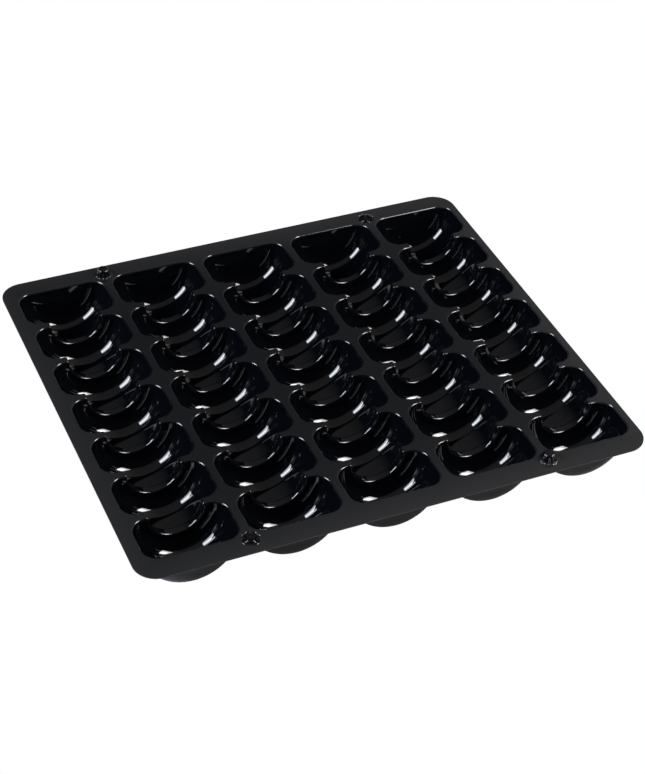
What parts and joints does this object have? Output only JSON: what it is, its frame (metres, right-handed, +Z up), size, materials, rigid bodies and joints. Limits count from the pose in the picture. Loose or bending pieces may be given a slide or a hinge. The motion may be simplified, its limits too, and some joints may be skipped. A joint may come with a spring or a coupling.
{
  "type": "thermoformed display tray",
  "caption": "Black thermoformed tray: a flat deck with rows of half-round pockets that hold discs on edge, joined by saddles, with locating studs",
  "frame": {"origin": "centre of the tray's bounding box in plan, at the height of the surface that the pockets' bottoms stand on", "axes": "+X runs along a row of pockets, left to right; +Y runs from the front row to the back row; +Z points up, out of the pockets' mouths"},
  "size_m": [0.3384, 0.3, 0.0363],
  "materials": {
    "formed_sheet": "vacuum-formed high-gloss black polystyrene sheet"
  },
  "bodies": {
    "root": {"deck": "formed_sheet", "pockets_c1": "formed_sheet", "pockets_c2": "formed_sheet", "pockets_c3": "formed_sheet", "pockets_c4": "formed_sheet", "pockets_c5": "formed_sheet", "saddles_c1": "formed_sheet", "saddles_c2": "formed_sheet", "saddles_c3": "formed_sheet", "saddles_c4": "formed_sheet", "saddles_c5": "formed_sheet", "stud_back_left": "formed_sheet", "stud_front_right": "formed_sheet", "recess_back_right": "formed_sheet", "recess_front_left": "formed_sheet"}
  },
  "joints": []
}
